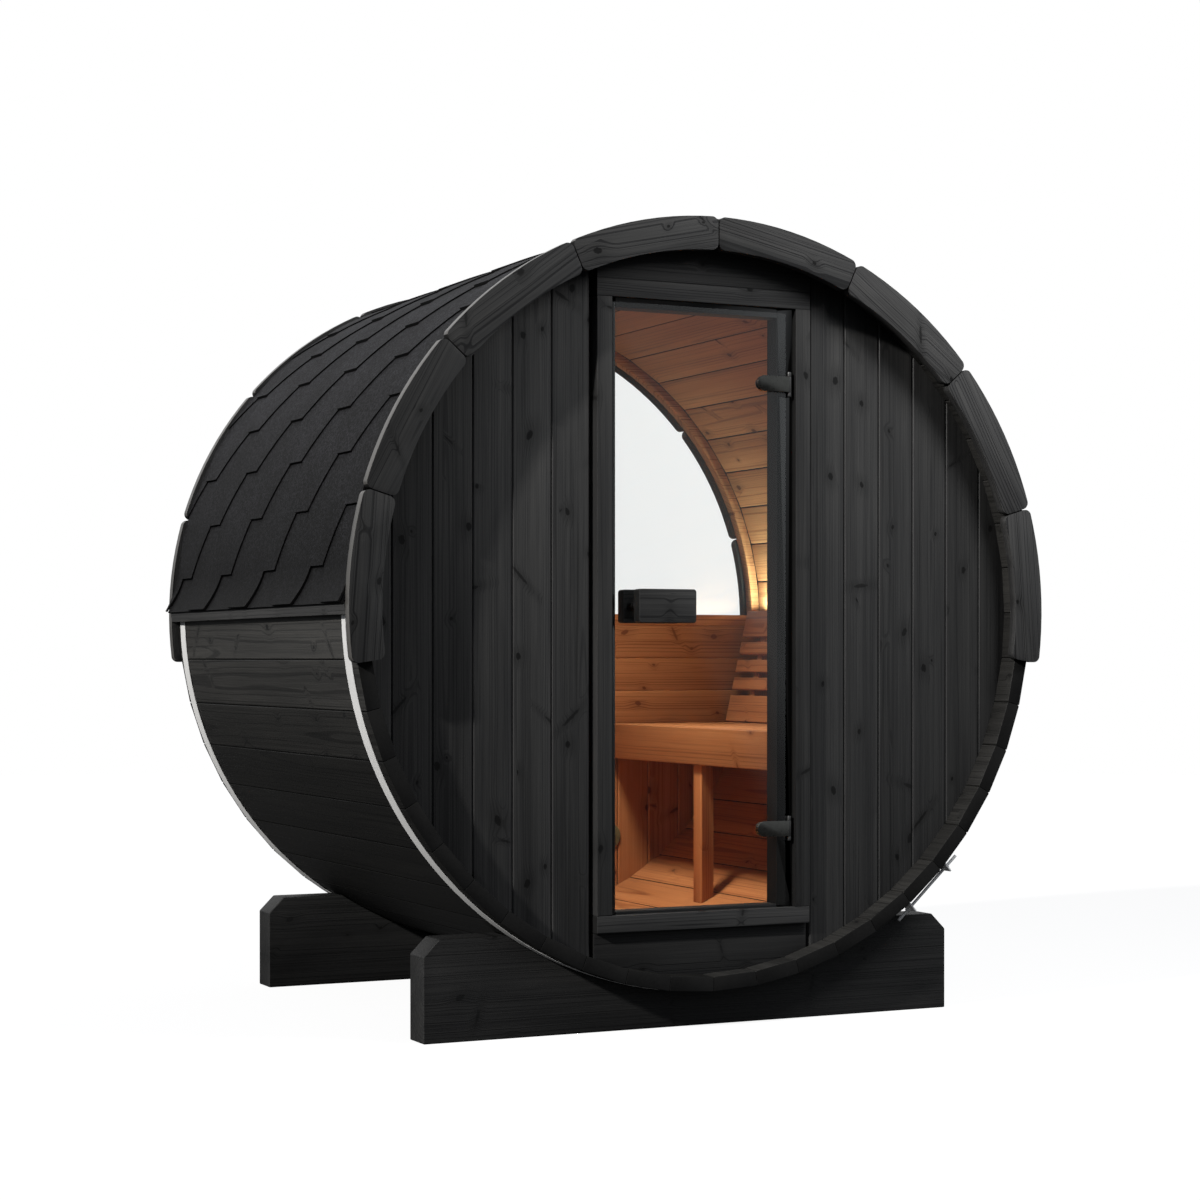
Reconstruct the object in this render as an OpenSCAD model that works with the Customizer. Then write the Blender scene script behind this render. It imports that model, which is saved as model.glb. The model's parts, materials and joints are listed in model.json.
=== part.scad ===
// Barrel sauna: bevelled staves drawn together by two steel bands on two cradles,
// boarded end walls let into the staves, a hinged glass door and a half-moon rear window.
// Millimetres. X runs across the barrel, Y from the front to the rear and Z up.
// The origin lies on the ground, under the middle of the barrel.

/* [Barrel] */
// Overall length, over the front and rear fascia boards
barrel_length = 1500; // [1300:10:2400]
// Distance from the barrel's axis to the outer face of a stave
stave_face_r = 967; // [900:1:1100]
// Thickness of a stave
stave_t = 38; // [28:1:50]
// Number of staves around the barrel
stave_count = 48; // [40:8:56]
// Chamfer along the outer edges of a stave
stave_chamfer = 2.5; // [1:0.5:5]
// Chamfer along the inner edges of a stave
stave_inner_chamfer = 2.5; // [0.5:0.5:4]
// Depth of the grooves in the staves that hold the end walls
croze_depth = 8; // [5:0.5:14]
// Height of the barrel's underside over the ground
ground_clearance = 98; // [70:1:150]

/* [Cradles] */
// Length of a cradle across the barrel
cradle_length = 1512; // [1300:2:1700]
// Thickness of a cradle along the barrel
cradle_t = 91; // [60:1:120]
// Height of a cradle at its ends
cradle_height = 255; // [220:1:320]
// Size of the cut-off upper corners
cradle_corner = 42; // [20:1:70]
// Distance from the end of the barrel to a cradle
cradle_inset = 114; // [112:1:220]

/* [Fascia] */
// Thickness of the fascia boards
fascia_t = 26; // [18:1:36]
// How far the front fascia stands inside the staves
fascia_inside = 23; // [10:1:40]
// How far the rear fascia, which the window bears on, stands inside the staves
rear_fascia_inside = 34; // [10:1:50]
// How far the fascia stands outside the staves
fascia_outside = 23; // [14:1:40]
// Number of fascia boards at each end
fascia_boards = 8; // [6:2:12]
// Angle by which the fascia runs on below the axis
fascia_drop = 8; // [4:0.5:16]
// Radius of the corners of a fascia board
fascia_corner_r = 9; // [4:1:16]
// Open joint between two fascia boards
fascia_joint = 0.8; // [0.4:0.1:3]

/* [End walls] */
// Thickness of the end walls
wall_t = 42; // [30:1:50]
// Distance from the front of the fascia to the front wall
front_recess = 90; // [75:1:160]
// Width of a wall board
board_w = 106; // [80:1:140]
// Chamfer along the edges of a wall board
board_chamfer = 4; // [1:0.5:5]

/* [Door frame] */
// Half of the frame's outer width
frame_half_w = 308; // [290:1:340]
// Height of the wall under the frame, at the middle
wall_under_door = 124; // [100:1:180]
// Height of the wall over the frame, at the middle
wall_over_door = 110; // [90:1:240]
// Width of the frame's front face
frame_face = 44; // [36:1:60]
// Depth of the frame
frame_depth = 72; // [66:1:90]
// How far the frame stands out of the wall
frame_proud = 20; // [18:1:30]
// Width of the rebate stop on the hinge side
stop_hinge = 44; // [38:1:50]
// Width of the rebate stop on the latch side
stop_latch = 17; // [12:1:30]
// Height of the rebate stop at the head
stop_head = 24; // [18:1:32]
// Height of the rebate stop at the sill
stop_sill = 8; // [6:1:16]

/* [Door] */
// Thickness of the door glass
glass_t = 8; // [6:1:10]
// Space between the glass and the rebate stop
glass_back_gap = 5; // [5:0.5:7]
// Space between the glass and the frame on the latch side
glass_latch_gap = 7; // [6:0.5:10]
// Space between the glass and the frame on the hinge side
glass_hinge_gap = 25; // [24:0.5:28]
// Space between the glass and the frame at the head
glass_head_gap = 12; // [6:0.5:18]
// Space between the glass and the frame at the sill
glass_sill_gap = 6; // [5.5:0.5:10]
// Width of the handle blocks
handle_w = 162; // [110:1:220]
// Height of the handle blocks
handle_h = 85; // [50:1:110]
// Thickness of the handle blocks
handle_t = 32; // [20:1:36]
// Radius of the handle's corners
handle_corner_r = 8; // [2:1:16]
// Length of the stand-offs that hold a handle block off the glass
handle_standoff = 25; // [20:1:30]
// Radius of the stand-offs
handle_standoff_r = 10; // [6:1:14]
// Distance from the latch edge of the glass to the handle
handle_inset = 42; // [30:1:80]
// Height of the middle of the handle over the ground
handle_height = 1073; // [900:1:1200]

/* [Hinges] */
// Length of a hinge strap along the glass
strap_length = 97; // [70:1:120]
// Height of a hinge strap
strap_h = 40; // [30:1:50]
// Thickness of the strap's plates
strap_t = 5; // [4:0.5:5]
// Radius of the knuckles
knuckle_r = 5.5; // [5:0.25:6]
// Radius of the hinge pin
pin_r = 3; // [2:0.25:3.5]
// Height of the fixed leaf
leaf_h = 63; // [58:1:80]
// Thickness of the fixed leaf
leaf_t = 3; // [2:0.5:4]
// Distance from the middle of the lower hinge to the bottom of the glass
lower_hinge_inset = 198; // [140:1:260]
// Distance from the middle of the upper hinge to the top of the glass
upper_hinge_inset = 184; // [140:1:260]

/* [Rear window] */
// Thickness of the half-moon glass
window_t = 8; // [6:1:10]
// Height of the sill's top over the axis
sill_top = 14; // [0:1:40]
// Height of the sill
sill_h = 35; // [28:1:50]
// Depth of the rebate in the sill that takes the glass
sill_rebate = 10; // [6:1:14]
// Width of the arched strip that holds the glass
window_trim_w = 28; // [20:1:50]
// Thickness of the lining boards inside the rear wall
lining_t = 16; // [12:1:24]
// Number of lining boards
lining_boards = 3; // [2:1:4]
// Radius of the vent cover
vent_r = 40; // [30:1:60]
// Thickness of the vent cover
vent_t = 12; // [8:1:18]
// Distance of the vent to the right of the middle
vent_x = 390; // [300:1:500]
// Height of the vent over the ground
vent_z = 390; // [360:1:480]

/* [Roof] */
// Thickness of the shingle cover
roof_t = 6; // [4:0.5:10]
// Height of the eave strips' outer face
eave_h = 30; // [20:1:40]
// How far that face leans in towards its foot
eave_lean = 4; // [0:1:10]
// How far an eave strip stands out of the staves
eave_out = 24; // [14:1:30]
// Height of the eave strips' outer edge over the axis
eave_top = 11; // [0:1:20]
// Angle over the axis at which the shingles leave the staves for the eave strip
flare_angle = 6; // [4:0.5:10]
// How far the shingles hang over the eave strip
eave_overhang = 6; // [2:1:10]

/* [Bands] */
// Width of a steel band
band_w = 45; // [30:1:60]
// Thickness of a steel band
band_t = 1; // [0.8:0.1:2]
// Distance from the front of the fascia to the middle of the front band
front_band_inset = 85; // [55:1:86]
// Distance from the rear of the fascia to the middle of the rear band
rear_band_inset = 68; // [55:1:86]
// Angle of the tensioners, below the horizontal on the right
tensioner_angle = 47.3; // [30:0.1:55]
// Half of the opening between the two ends of a band
band_half_gap = 73; // [50:1:100]
// Length of the tensioner's rod
rod_length = 245; // [180:1:280]
// Radius of the tensioner's rod
rod_r = 4; // [3:0.5:6]
// Height of the rod over the band
rod_height = 33; // [24:1:48]

/* [Bench] */
// Height of the bench over the ground
bench_height = 740; // [600:5:800]
// Depth of the bench from its front to the staves
bench_depth = 475; // [400:1:520]
// Thickness of the bench boards
bench_t = 28; // [20:1:36]
// Height of the bench's front rail
bench_rail_h = 108; // [80:1:140]
// Number of bench boards
bench_boards = 4; // [3:1:5]
// Open joint between two bench boards
bench_joint = 12; // [6:1:20]
// Width of a bearer under the bench
bearer_w = 53; // [36:1:60]
// Height of a bearer under the bench
bearer_h = 58; // [40:1:70]
// Width of the post across the barrel
post_w = 40; // [30:1:60]
// How far the post stands behind the rail's front
post_setback = 12; // [4:1:20]
// Distance of the middle of the post behind the middle of the barrel
post_y = 126; // [0:1:250]

/* [Backrest] */
// Distance from the staves to the foot of the backrest
backrest_setback = 85; // [70:1:110]
// Lean of the backrest
backrest_lean = 13; // [8:0.5:16]
// Height of the lowest and highest boards
backrest_board = 84; // [60:1:100]
// Height of the slats between them
backrest_slat = 39; // [30:1:50]
// Number of slats between them
backrest_slats_n = 3; // [2:1:4]
// Open joint between two slats
backrest_gap = 18; // [10:1:24]
// Thickness of the slats
backrest_t = 18; // [14:1:24]
// Thickness of a bracket behind the slats
bracket_t = 28; // [20:1:40]

/* [Hidden] */
$fn = 96;
// Seating gap between pieces that are fitted together
fit = 0.3;
// Running gap of the hinge pins
pin_gap = 0.05;
// Axial gap between the hinge knuckles
knuckle_gap = 0.5;
// Gap between neighbouring boards or staves
joint_gap = 0.4;
// Length by which a cutter runs past what it cuts
past = 5;

// The barrel's section
axis_z = ground_clearance + stave_face_r;
stave_in_r = stave_face_r - stave_t;
stave_half = 180 / stave_count;
function stave_half_w(r) = r * tan(stave_half) - joint_gap / 2 / cos(stave_half);
// Radius over the chamfered corners of the staves, on which bands and cradles bear
corner_r = norm([stave_face_r, stave_half_w(stave_face_r) - stave_chamfer]);
seat_r = corner_r + fit;
inside_r = stave_in_r - fit;
rim_r = stave_in_r + croze_depth - fit;
stave_length = barrel_length - 2 * fascia_t;

// Places along the barrel
front_y = -barrel_length / 2;
rear_y = barrel_length / 2;
stave_front_y = front_y + fascia_t;
stave_rear_y = rear_y - fascia_t;
front_wall_y = front_y + front_recess;
front_wall_back_y = front_wall_y + wall_t;
rear_wall_y = stave_rear_y - wall_t;
lining_y = rear_wall_y - lining_t;
front_band_y = front_y + front_band_inset;
rear_band_y = rear_y - rear_band_inset;

// Fascia
fascia_in_r = stave_in_r - fascia_inside;
rear_fascia_in_r = stave_in_r - rear_fascia_inside;
fascia_out_r = stave_face_r + fascia_outside;
fascia_pitch = (180 + 2 * fascia_drop) / fascia_boards;

// Door frame and door
frame_bottom = axis_z - rim_r + wall_under_door;
frame_top = axis_z + rim_r - wall_over_door;
frame_y = front_wall_y - frame_proud;
frame_back_y = frame_y + frame_depth;
stop_y = front_wall_y;
open_half_w = frame_half_w - frame_face;
open_bottom = frame_bottom + frame_face;
open_top = frame_top - frame_face;
glass_back_y = stop_y - glass_back_gap;
glass_y = glass_back_y - glass_t;
glass_x0 = -open_half_w + glass_latch_gap;
glass_x1 = open_half_w - glass_hinge_gap;
glass_z0 = open_bottom + glass_sill_gap;
glass_z1 = open_top - glass_head_gap;
handle_x = glass_x0 + handle_inset + handle_w / 2;
standoff_x = handle_w / 2 - 2 * handle_standoff_r;

// Hinges
pin_behind_face = 2;
hinge_x = glass_x1 + 2 * knuckle_r;
hinge_y = glass_y + pin_behind_face;
hinge_z = [glass_z0 + lower_hinge_inset, glass_z1 - upper_hinge_inset];
leaf_margin = 2;
leaf_x0 = open_half_w - stop_hinge + leaf_margin;
leaf_x1 = open_half_w - leaf_margin;
// The neck between a fixed knuckle and its leaf is a little narrower than the knuckle
neck_relief = 1;
neck_w = 2 * knuckle_r - neck_relief;
// The strap's plate stops short of the hinge's axis, so that its knuckle shows
knuckle_show = 3.5;
// The plate behind the glass is a little smaller than the strap's round end
back_plate_margin = 2;
back_plate_r = strap_h / 2 - back_plate_margin;
back_plate_t = 4;

// Rear window
sill_z1 = axis_z + sill_top;
sill_z0 = sill_z1 - sill_h;
window_z0 = sill_z1 - sill_rebate;
window_y = stave_rear_y - window_t;

// Bands
band_r = seat_r + band_t;
band_half_angle = asin(band_half_gap / band_r);
rod_centre_r = band_r + rod_height;
// A lug is a plate that reaches past the rod on its outer side
lug_t = 4;
lug_edge = 5;
lug_out_r = rod_centre_r + rod_r + lug_edge;
nut_h = 9;
nut_r = 8;

// Roof
roof_in_r = seat_r;
roof_out_r = roof_in_r + roof_t;
// Corners of an eave strip, measured from the axis
eave_root = [seat_r * cos(flare_angle), eave_top - eave_h];
eave_foot = [seat_r + eave_out - eave_lean, eave_top - eave_h];
eave_tip = [seat_r + eave_out, eave_top];
eave_head = [seat_r * cos(flare_angle), seat_r * sin(flare_angle)];
// The shingles' fall from the staves to the eave, and the way out of it
flare_fall = (eave_tip - eave_head) / norm(eave_tip - eave_head);
flare_out = [-flare_fall.y, flare_fall.x];
eave_edge = eave_tip + eave_overhang * flare_fall;
// Length by which the flared outline runs into the round one
flare_lap = 40;

// Bench
seat_y0 = front_wall_back_y + fit;
seat_y1 = lining_y - fit;
bench_back_x = sqrt(pow(inside_r, 2) - pow(axis_z - bench_height, 2));
bench_front_x = bench_back_x - bench_depth;
bench_x0 = bench_front_x + bench_t + fit;
bench_x1 = sqrt(pow(inside_r, 2) - pow(axis_z - bench_height + bench_t, 2));
bench_board_w = (bench_x1 - bench_x0 - (bench_boards - 1) * bench_joint) / bench_boards;
bearer_z1 = bench_height - bench_t - fit;
bearer_y = [seat_y0 + bearer_w / 2, post_y, seat_y1 - bearer_w / 2];
rail_z0 = bench_height - bench_rail_h;

// Backrest
slat_heights = concat([backrest_board], [for (i = [1:backrest_slats_n]) backrest_slat], [backrest_board]);
function slat_start(i) = i == 0 ? 0 : slat_start(i - 1) + slat_heights[i - 1] + backrest_gap;
backrest_top = slat_start(len(slat_heights) - 1) + slat_heights[len(slat_heights) - 1];
backrest_end_gap = 16;
// The backrest stands back as far as the staves let its foot and its leaning top
backrest_top_gap = 20;
backrest_top_z = bench_height + backrest_top * cos(backrest_lean);
backrest_reach = backrest_top * sin(backrest_lean) + backrest_t * cos(backrest_lean) + backrest_top_gap;
backrest_x = min(bench_back_x - backrest_setback,
    sqrt(pow(inside_r, 2) - pow(backrest_top_z - axis_z, 2)) - backrest_reach);
bracket_inset = 120;
bracket_y = [seat_y0 + bracket_inset, 0, seat_y1 - bracket_inset];

black_wood = "#2b2a29";
edge_wood = "#353331";
warm_wood = "#9a5f38";
shingle = "#33343a";
steel = "#d9dbdd";
black_metal = "#161616";
clear_glass = "#a9b4b866";
olive = "#3d3a2a";

// Draws an outline of the X-Z plane from y0, as deep as len
module along_y(y0, len) translate([0, y0 + len, 0]) rotate([90, 0, 0]) linear_extrude(len) children();

// Turns what is drawn around the barrel's axis, up from the right by an angle
module around(angle) translate([0, 0, axis_z]) rotate([0, -angle, 0]) children();

// A round block on the barrel's axis
module disc(r, y0, len) translate([0, y0, axis_z]) rotate([-90, 0, 0]) cylinder(r = r, h = len, $fn = 192);

// A ring on the barrel's axis
module ring(r0, r1, y0, len) difference() {
    disc(r1, y0, len);
    disc(r0, y0 - past, len + 2 * past);
}

// A block between two corners
module block(low, high) translate(low) cube(high - low);

// What is cut out of a stave's inner face for a wall between y0 and y1
module groove(y0, y1) block([stave_in_r - past, y0, -board_w], [stave_in_r + croze_depth, y1, board_w]);

// One stave, with the groove for the front wall and the rebate for the rear wall
module stave(angle) around(angle) {
    c = stave_chamfer;
    ci = stave_inner_chamfer;
    half = [[stave_in_r, stave_half_w(stave_in_r) - ci],
        [stave_in_r + ci, stave_half_w(stave_in_r + ci)],
        [stave_face_r - c, stave_half_w(stave_face_r - c)],
        [stave_face_r, stave_half_w(stave_face_r) - c]];
    mirrored = [for (i = [len(half) - 1:-1:0]) [half[i].x, -half[i].y]];
    difference() {
        along_y(stave_front_y, stave_length) polygon(concat(half, mirrored));
        groove(front_wall_y - fit, front_wall_back_y + fit);
        groove(rear_wall_y - fit, stave_rear_y + past);
    }
}

// The staves of one eighth of the barrel
module stave_group(eighth) color(black_wood) {
    per_group = stave_count / 8;
    for (i = [0:per_group - 1]) stave((eighth * per_group + i + 0.5) * 2 * stave_half);
}

// A cradle with a round seat, standing on the ground
module cradle(y0) color(black_wood) {
    half = cradle_length / 2;
    difference() {
        along_y(y0, cradle_t) polygon([[-half, 0], [half, 0], [half, cradle_height - cradle_corner],
            [half - cradle_corner, cradle_height], [cradle_corner - half, cradle_height],
            [-half, cradle_height - cradle_corner]]);
        disc(seat_r, y0 - past, cradle_t + 2 * past);
    }
}

// What rounding takes off the lower outer corner of a fascia board whose end lies at z = 0
module corner_waste(y0) {
    r = fascia_corner_r;
    rotate([-90, 0, 0]) translate([0, 0, y0 - past]) difference() {
        cube([r + past, r + past, fascia_t + 2 * past]);
        translate([0, 0, -past]) cylinder(r = r, h = fascia_t + 4 * past, $fn = 48);
    }
}

// One curved fascia board with its four corners rounded
module fascia_board(angle, y0, in_r) around(angle) {
    half = fascia_pitch / 2;
    end_x = fascia_out_r + past;
    end_z = end_x * tan(half);
    joint = fascia_joint / 2;
    difference() {
        intersection() {
            translate([0, 0, -axis_z]) ring(in_r, fascia_out_r, y0, fascia_t);
            along_y(y0, fascia_t)
                polygon([[joint / sin(half), 0], [end_x, joint - end_z], [end_x, end_z - joint]]);
        }
        for (side = [0, 1]) mirror([0, 0, side]) rotate([0, half, 0]) {
            corner_z = joint + fascia_corner_r;
            translate([fascia_out_r - fascia_corner_r, 0, corner_z]) corner_waste(y0);
            translate([in_r + fascia_corner_r, 0, corner_z]) mirror([1, 0, 0]) corner_waste(y0);
        }
    }
}

module fascia(y0, in_r) color(edge_wood)
    for (i = [0:fascia_boards - 1]) fascia_board((i + 0.5) * fascia_pitch - fascia_drop, y0, in_r);

// Edges of a row of wall boards between x0 and x1, counted from the middle of the wall
function board_edges(x0, x1) = concat([x0],
    [for (i = [-ceil(rim_r / board_w):ceil(rim_r / board_w)]) let (x = i * board_w)
        if (x > x0 + board_w / 4 && x < x1 - board_w / 4) x], [x1]);

// A row of upright boards with chamfered edges, cut round where it meets the staves
module wall_boards(x0, x1, z0, z1, y0) {
    edges = board_edges(x0, x1);
    c = board_chamfer;
    intersection() {
        disc(rim_r, y0, wall_t);
        for (i = [0:len(edges) - 2]) {
            a = edges[i] + joint_gap / 2;
            b = edges[i + 1] - joint_gap / 2;
            translate([0, y0, z0]) linear_extrude(z1 - z0) polygon([[a, c], [a + c, 0], [b - c, 0], [b, c],
                [b, wall_t - c], [b - c, wall_t], [a + c, wall_t], [a, wall_t - c]]);
        }
    }
}

module front_wall_left() color(black_wood)
    wall_boards(-rim_r, -frame_half_w, axis_z - rim_r, axis_z + rim_r, front_wall_y);

module front_wall_right() color(black_wood)
    wall_boards(frame_half_w, rim_r, axis_z - rim_r, axis_z + rim_r, front_wall_y);

module front_wall_over_door() color(black_wood)
    wall_boards(-frame_half_w, frame_half_w, frame_top + fit, axis_z + rim_r, front_wall_y);

// One wide board under the door
module front_wall_under_door() color(black_wood) intersection() {
    disc(rim_r, front_wall_y, wall_t);
    half = frame_half_w - joint_gap / 2;
    block([-half, front_wall_y, 0], [half, front_wall_back_y, frame_bottom - fit]);
}

// A jamb of the door frame with its rebate stop, between the sill and the head
module jamb(side, stop) color(black_wood) mirror([side < 0 ? 1 : 0, 0, 0])
    translate([0, 0, open_bottom + fit]) linear_extrude(open_top - open_bottom - 2 * fit) polygon([
        [open_half_w, frame_y], [frame_half_w - fit, frame_y], [frame_half_w - fit, frame_back_y],
        [open_half_w - stop, frame_back_y], [open_half_w - stop, stop_y], [open_half_w, stop_y]]);

module door_frame_left() jamb(-1, stop_latch);

// The hinge jamb is mortised for the hinge leaves
module door_frame_right() color(black_wood) difference() {
    jamb(1, stop_hinge);
    for (z = hinge_z) block([leaf_x0 - fit, stop_y - past, z - leaf_h / 2 - fit],
        [leaf_x1 + fit, stop_y + leaf_t + fit, z + leaf_h / 2 + fit]);
}

// Head or sill of the door frame: a bar across both jambs, with its stop between them
module cross_bar(z0, z1, stop_z0, stop_z1) color(black_wood) union() {
    stop_x0 = fit + stop_latch - open_half_w;
    stop_x1 = open_half_w - stop_hinge - fit;
    block([fit - frame_half_w, frame_y, z0], [frame_half_w - fit, frame_back_y, z1]);
    block([stop_x0, stop_y, stop_z0], [stop_x1, frame_back_y, stop_z1]);
}

module door_frame_head() cross_bar(open_top, frame_top, open_top - stop_head, open_top);

module door_frame_sill() cross_bar(frame_bottom, open_bottom, open_bottom, open_bottom + stop_sill);

module rear_wall() color(black_wood) wall_boards(-rim_r, rim_r, axis_z - rim_r, sill_z0 - fit, rear_wall_y);

// Level boards inside the rear wall, from the bench up to the sill
module rear_wall_lining() color(warm_wood) {
    board_h = (sill_z0 - bench_height) / lining_boards;
    intersection() {
        disc(inside_r, lining_y, lining_t);
        for (i = [0:lining_boards - 1]) block([-rim_r, lining_y, bench_height + i * board_h + joint_gap / 2],
            [rim_r, rear_wall_y, bench_height + (i + 1) * board_h - joint_gap / 2]);
    }
}

// Rail under the half-moon window, rebated for the glass
module rear_window_sill() color(warm_wood) difference() {
    intersection() {
        union() {
            disc(rim_r, rear_wall_y, wall_t);
            disc(inside_r, lining_y, lining_t);
        }
        block([-rim_r, lining_y, sill_z0], [rim_r, stave_rear_y, sill_z1]);
    }
    half = rim_r + past;
    block([-half, window_y - fit, window_z0 - fit], [half, stave_rear_y + past, sill_z1 + past]);
}

module rear_window() color(clear_glass) intersection() {
    disc(rim_r, window_y, window_t);
    block([-rim_r, window_y, window_z0], [rim_r, stave_rear_y, axis_z + rim_r]);
}

// Arched strip that holds the rear glass against the fascia
module rear_window_trim() color(warm_wood) intersection() {
    ring(inside_r - window_trim_w, inside_r, rear_wall_y, window_y - fit - rear_wall_y);
    block([-rim_r, rear_wall_y - past, sill_z1 + fit], [rim_r, stave_rear_y, axis_z + rim_r]);
}

module vent_cover() color(olive) translate([vent_x, rear_wall_y, vent_z]) rotate([90, 0, 0]) {
    plate_t = vent_t / 2;
    union() {
        cylinder(r = vent_r, h = plate_t);
        cylinder(r = vent_r / 2, h = vent_t);
    }
}

// Space that the bands take under the shingles and the eave strips
module band_space() {
    for (y = [front_band_y, rear_band_y]) disc(band_r + fit, y - band_w / 2 - fit, band_w + 2 * fit);
}

// The staves and the eave strip in section, grown outwards to the under or upper side of the shingles
module roof_bed(growth) union() {
    circle(r = roof_in_r + growth, $fn = 192);
    shift = (fit + growth) * flare_out;
    low = eave_edge + past * flare_fall + shift;
    high = eave_head - flare_lap * flare_fall + shift;
    polygon([[0, -roof_in_r], low, high]);
}

// Half of the shingle cover: round from the ridge down, then flared out over the eave strip
module roof_half(side) color(shingle) mirror([side < 0 ? 1 : 0, 0, 0]) difference() {
    around(0) along_y(stave_front_y + fit, stave_length - 2 * fit) difference() {
        intersection() {
            roof_bed(roof_t);
            translate([joint_gap / 2, 0]) square(2 * roof_out_r);
            translate(eave_edge) rotate(atan2(flare_out.y, flare_out.x))
                translate([-2 * roof_out_r, 0]) square(4 * roof_out_r);
        }
        roof_bed(0);
    }
    band_space();
}

// Tapered strips along the eaves that tilt the lowest shingles outwards
module eave_strips() color(black_wood) for (side = [0, 1]) mirror([side, 0, 0]) difference() {
    around(0) along_y(stave_front_y + fit, stave_length - 2 * fit)
        polygon([eave_root, eave_foot, eave_tip, eave_head]);
    disc(seat_r, front_y, barrel_length);
    band_space();
}

// A band around the staves, open where the tensioner draws its ends together
module band(y) color(steel) translate([0, y, 0]) around(band_half_angle - tensioner_angle) rotate([90, 0, 0])
    rotate_extrude(angle = 360 - 2 * band_half_angle, $fn = 192)
        translate([seat_r, -band_w / 2]) square([band_t, band_w]);

// A threaded rod with nuts, held by two lugs on the ends of a band
module tensioner(y) color(steel) translate([0, y, 0]) around(-tensioner_angle) union() {
    translate([rod_centre_r, 0, -rod_length / 2]) cylinder(r = rod_r, h = rod_length);
    for (side = [0, 1]) mirror([0, 0, side]) {
        lug_z = band_half_gap + fit;
        block([sqrt(pow(band_r + fit, 2) - pow(lug_z, 2)), -band_w / 2, lug_z],
            [lug_out_r, band_w / 2, lug_z + lug_t]);
        translate([rod_centre_r, 0, lug_z + lug_t]) cylinder(r = nut_r, h = nut_h, $fn = 6);
    }
}

// Blocks that lean with the backrest: x runs out of its face towards the staves and z up along it
module leaning() translate([backrest_x, 0, bench_height + fit]) rotate([0, backrest_lean, 0]) children();

module bench_front_rail() color(warm_wood)
    block([bench_front_x, seat_y0, rail_z0], [bench_front_x + bench_t, seat_y1, bench_height]);

module bench_seat() color(warm_wood) intersection() {
    disc(inside_r, seat_y0, seat_y1 - seat_y0);
    for (i = [0:bench_boards - 1]) {
        x0 = bench_x0 + i * (bench_board_w + bench_joint);
        block([x0, seat_y0, bench_height - bench_t], [x0 + bench_board_w, seat_y1, bench_height]);
    }
}

// Bearers from the rail to the staves, which carry the bench boards
module bench_bearers() color(warm_wood) intersection() {
    disc(inside_r, seat_y0, seat_y1 - seat_y0);
    for (y = bearer_y)
        block([bench_x0, y - bearer_w / 2, bearer_z1 - bearer_h], [rim_r, y + bearer_w / 2, bearer_z1]);
}

module bench_post() color(warm_wood) intersection() {
    disc(inside_r, seat_y0, seat_y1 - seat_y0);
    block([bench_front_x + post_setback, post_y - bearer_w / 2, 0],
        [bench_front_x + post_setback + post_w, post_y + bearer_w / 2, rail_z0 - fit]);
}

module backrest_slats() color(warm_wood) leaning()
    for (i = [0:len(slat_heights) - 1]) {
        z0 = backrest_t * tan(backrest_lean) + slat_start(i);
        block([0, seat_y0 + backrest_end_gap, z0],
            [backrest_t, seat_y1 - backrest_end_gap, z0 + slat_heights[i]]);
    }

// Brackets between the backrest and the staves
module backrest_brackets() color(warm_wood) intersection() {
    disc(inside_r, seat_y0, seat_y1 - seat_y0);
    block([backrest_x, seat_y0, bench_height + fit], [rim_r, seat_y1, axis_z + rim_r]);
    leaning() for (y = bracket_y)
        block([backrest_t + fit, y - bracket_t / 2, -rim_r], [rim_r, y + bracket_t / 2, backrest_top]);
}

// Fixed halves of the hinges: a leaf let into the stop, two knuckles and the pin
module hinge_leaves() color(black_metal) for (z = hinge_z) translate([0, 0, z]) union() {
    block([leaf_x0, stop_y, -leaf_h / 2], [leaf_x1, stop_y + leaf_t, leaf_h / 2]);
    translate([hinge_x, hinge_y, -leaf_h / 2]) cylinder(r = pin_r, h = leaf_h);
    for (side = [0, 1]) mirror([0, 0, side]) {
        knuckle_z = strap_h / 2 + knuckle_gap;
        knuckle_h = leaf_h / 2 - knuckle_z;
        translate([hinge_x, hinge_y, knuckle_z]) cylinder(r = knuckle_r, h = knuckle_h);
        translate([hinge_x - neck_w / 2, hinge_y, knuckle_z])
            cube([neck_w, stop_y + leaf_t / 2 - hinge_y, knuckle_h]);
    }
}

// Moving halves of the hinges: a strap with a round end, its knuckle and a plate behind the glass
module hinge_straps() color(black_metal) for (z = hinge_z) translate([0, 0, z]) {
    end_x = hinge_x - strap_length + strap_h / 2;
    difference() {
        union() {
            block([end_x, glass_y - strap_t, -strap_h / 2], [hinge_x - knuckle_show, glass_y, strap_h / 2]);
            translate([end_x, 0, 0]) along_y(glass_y - strap_t, strap_t) circle(r = strap_h / 2);
            translate([hinge_x, hinge_y, -strap_h / 2]) cylinder(r = knuckle_r, h = strap_h);
        }
        translate([hinge_x, hinge_y, -strap_h]) cylinder(r = pin_r + pin_gap, h = 2 * strap_h);
    }
    translate([end_x, 0, 0]) along_y(glass_back_y, back_plate_t) circle(r = back_plate_r);
}

module door_glass() color(clear_glass)
    block([glass_x0, glass_y, glass_z0], [glass_x1, glass_back_y, glass_z1]);

// A wooden grip with rounded corners
module handle_block(y0) color(black_wood) translate([handle_x, 0, handle_height]) along_y(y0, handle_t) {
    w = handle_w / 2 - handle_corner_r;
    h = handle_h / 2 - handle_corner_r;
    union() {
        square([2 * w, handle_h], center = true);
        square([handle_w, 2 * h], center = true);
        for (x = [-w, w], z = [-h, h]) translate([x, z]) circle(r = handle_corner_r, $fn = 32);
    }
}

module door_handle_outside() handle_block(glass_y - handle_standoff - handle_t);

module door_handle_inside() handle_block(glass_back_y + handle_standoff);

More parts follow.
